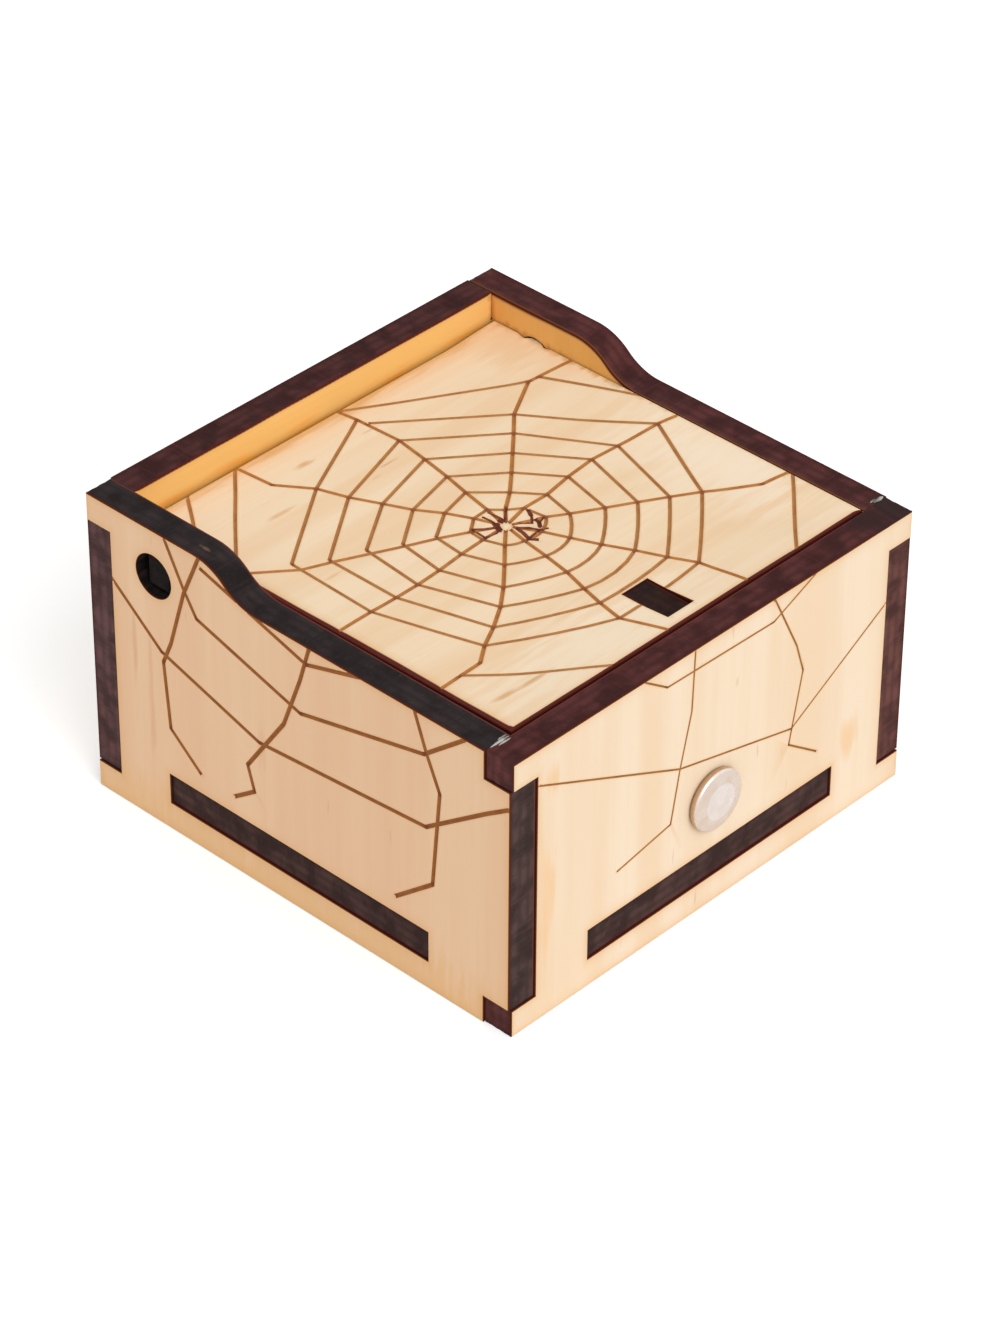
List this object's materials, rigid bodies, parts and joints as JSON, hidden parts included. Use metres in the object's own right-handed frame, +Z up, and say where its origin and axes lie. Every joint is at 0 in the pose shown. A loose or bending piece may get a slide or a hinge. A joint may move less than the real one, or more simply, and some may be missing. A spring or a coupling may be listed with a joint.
{
  "type": "puzzle box",
  "caption": "Square laser-cut plywood box with a lid on tab hinges, held shut by a hidden bolt that a disc magnet drags through the front wall.",
  "frame": {"origin": "on the table, under the middle of the outline; the disc magnet on the front wall counts in it", "axes": "+Z up, -Y out of the front wall, +X to the right as seen from the front"},
  "size_m": [0.1, 0.102, 0.0624],
  "materials": {
    "front_plywood": "pale birch plywood, laser cut with charred edges, unfinished",
    "side_plywood": "tan birch plywood, laser cut with charred edges, unfinished",
    "lid_plywood": "birch plywood with a laser-engraved web, charred edges, unfinished",
    "inner_plywood": "birch plywood, laser cut with charred edges, unfinished",
    "nickel_plate": "nickel plating, satin"
  },
  "bodies": {
    "box": {"front_wall": "front_plywood", "back_wall": "side_plywood", "left_wall": "side_plywood", "right_wall": "side_plywood", "bottom_panel": "inner_plywood", "left_guide": "inner_plywood", "right_guide": "inner_plywood", "latch_cover": "inner_plywood", "left_lid_rest": "inner_plywood", "right_lid_rest": "inner_plywood"},
    "lid": {"lid_panel": "lid_plywood", "lid_hook": "inner_plywood"},
    "bolt": {"latch_bolt": "inner_plywood", "inner_magnet": "nickel_plate"},
    "key": {"key_magnet": "nickel_plate"}
  },
  "joints": [
    {"name": "lid_hinge", "type": "hinge", "parent": "box", "child": "lid", "pos_m": [0, 0.03435, 0.053], "axis": [-1, 0, 0], "range_deg": [0, 120]},
    {"name": "bolt_slide", "type": "slide", "parent": "box", "child": "bolt", "axis": [1, 0, 0], "range_m": [0, 0.008]},
    {"name": "key_slide", "type": "slide", "parent": "box", "child": "key", "axis": [1, 0, 0], "range_m": [0, 0.008]}
  ],
  "couplings": [
    {"joint": "key_slide", "follows": "bolt_slide", "ratio": 1}
  ]
}
